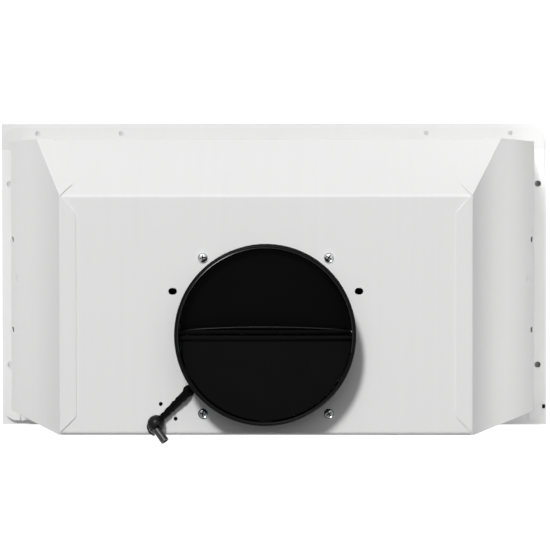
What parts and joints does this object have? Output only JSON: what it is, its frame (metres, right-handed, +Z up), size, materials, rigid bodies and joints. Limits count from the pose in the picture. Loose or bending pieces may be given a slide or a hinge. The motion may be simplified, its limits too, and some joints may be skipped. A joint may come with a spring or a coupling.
{
  "type": "range hood",
  "caption": "Built-in canopy range hood seen from above: folded white steel box on a foot flange, round duct collar with damper flaps, centrifugal blower, grease filters.",
  "frame": {"origin": "centre of the footprint, on the underside that the hood stands on", "axes": "+Z up, out of the duct collar; +Y to the wall side; -Y to the room side; X along the width"},
  "size_m": [0.525, 0.29, 0.4],
  "materials": {
    "painted_sheet": "satin white powder coat",
    "underside_paint": "satin white enamel",
    "black_plastic": "satin moulded black",
    "flap_plastic": "satin moulded black",
    "bright_steel": "drawn bright",
    "zinc": "bright zinc plate",
    "galvanised": "galvanised with faint spangle",
    "wheel_metal": "rolled sheet",
    "motor_can": "satin black enamel",
    "capacitor_plastic": "moulded off-white",
    "dark_plastic": "fine-grained dark grey",
    "black_rubber": "smooth soft PVC sheath",
    "filter_metal": "brushed channel",
    "filter_mesh_metal": "expanded mesh layers",
    "lamp_can": "white enamel",
    "lens": "frosted",
    "button_plastic": "semi-gloss charcoal",
    "grip_rubber": "moulded matt black"
  },
  "bodies": {
    "hood": {"front_top_sheet": "painted_sheet", "side_panel_left": "painted_sheet", "side_panel_right": "painted_sheet", "rear_panel": "painted_sheet", "bottom_panel": "underside_paint", "duct_collar": "black_plastic", "damper_pins": "bright_steel", "collar_screws": "zinc", "blower_flange": "galvanised", "outlet_funnel": "galvanised", "scroll_band": "galvanised", "scroll_side_left": "galvanised", "scroll_side_right": "galvanised", "motor": "motor_can", "motor_bracket": "galvanised", "capacitor": "capacitor_plastic", "capacitor_clip": "galvanised", "terminal_box": "dark_plastic", "terminal_cover": "dark_plastic", "motor_lead": "black_rubber", "control_lead": "black_rubber", "filter_clips": "bright_steel", "lamp_housing_left": "lamp_can", "lamp_housing_right": "lamp_can", "lamp_lens_left": "lens", "lamp_lens_right": "lens", "control_housing": "dark_plastic", "supply_lead": "black_rubber", "lead_boot": "grip_rubber", "cord_grip": "grip_rubber", "panel_screws": "zinc", "edge_plug": "black_plastic"},
    "flap_front": {"damper_flap_front": "flap_plastic"},
    "flap_rear": {"damper_flap_rear": "flap_plastic"},
    "rotor": {"blower_wheel": "wheel_metal", "wheel_hub": "wheel_metal", "rotor_shaft": "bright_steel"},
    "filter_left": {"filter_frame_left": "filter_metal", "filter_mesh_left": "filter_mesh_metal", "filter_pull_left": "dark_plastic"},
    "filter_right": {"filter_frame_right": "filter_metal", "filter_mesh_right": "filter_mesh_metal", "filter_pull_right": "dark_plastic"},
    "key_off": {"button_off": "button_plastic"},
    "key_low": {"button_low": "button_plastic"},
    "key_medium": {"button_medium": "button_plastic"},
    "key_high": {"button_high": "button_plastic"},
    "key_lamp": {"button_lamp": "button_plastic"}
  },
  "joints": [
    {"name": "flap_front_swing", "type": "hinge", "parent": "hood", "child": "flap_front", "pos_m": [0, 0.0374, 0.386], "axis": [-1, 0, 0], "range_deg": [0, 74]},
    {"name": "flap_rear_swing", "type": "hinge", "parent": "hood", "child": "flap_rear", "pos_m": [0, 0.0426, 0.386], "axis": [1, 0, 0], "range_deg": [0, 74]},
    {"name": "blower_spin", "type": "hinge", "parent": "hood", "child": "rotor", "pos_m": [0, -0.005, 0.205], "axis": [1, 0, 0], "continuous": true},
    {"name": "filter_left_drop", "type": "hinge", "parent": "hood", "child": "filter_left", "pos_m": [-0.111, 0.10358, 0.005], "axis": [1, 0, 0], "range_deg": [0, 80]},
    {"name": "filter_right_drop", "type": "hinge", "parent": "hood", "child": "filter_right", "pos_m": [0.111, 0.10358, 0.005], "axis": [1, 0, 0], "range_deg": [0, 80]},
    {"name": "key_off_press", "type": "slide", "parent": "hood", "child": "key_off", "axis": [0, 0, 1], "range_m": [0, 0.0025], "stiffness_N_per_m": 600},
    {"name": "key_low_press", "type": "slide", "parent": "hood", "child": "key_low", "axis": [0, 0, 1], "range_m": [0, 0.0025], "stiffness_N_per_m": 600},
    {"name": "key_medium_press", "type": "slide", "parent": "hood", "child": "key_medium", "axis": [0, 0, 1], "range_m": [0, 0.0025], "stiffness_N_per_m": 600},
    {"name": "key_high_press", "type": "slide", "parent": "hood", "child": "key_high", "axis": [0, 0, 1], "range_m": [0, 0.0025], "stiffness_N_per_m": 600},
    {"name": "key_lamp_press", "type": "slide", "parent": "hood", "child": "key_lamp", "axis": [0, 0, 1], "range_m": [0, 0.0025], "stiffness_N_per_m": 600}
  ]
}
